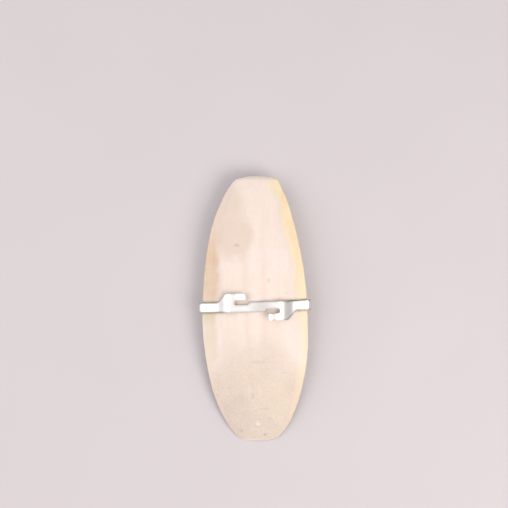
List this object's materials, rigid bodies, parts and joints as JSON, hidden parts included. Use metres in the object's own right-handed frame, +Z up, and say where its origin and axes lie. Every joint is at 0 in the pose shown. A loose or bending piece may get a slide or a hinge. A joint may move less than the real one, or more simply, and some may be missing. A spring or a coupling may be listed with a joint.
{
  "type": "cuttlebone",
  "caption": "Oval chalky cuttlebone with a domed hard back and a chambered belly, held across its middle by a bent sheet-metal clip whose hooks catch the wires of a bird cage.",
  "frame": {"origin": "on the surface it lies on, under the middle of its bounding box", "axes": "+Y along the bone to its head end, +X to the right seen from above with the head end up, +Z up out of the hard back"},
  "size_m": [0.0584, 0.14, 0.0218],
  "materials": {
    "bone": "matte",
    "clip": "satin"
  },
  "bodies": {
    "root": {"cuttlebone": "bone", "cage_clip": "clip"}
  },
  "joints": []
}
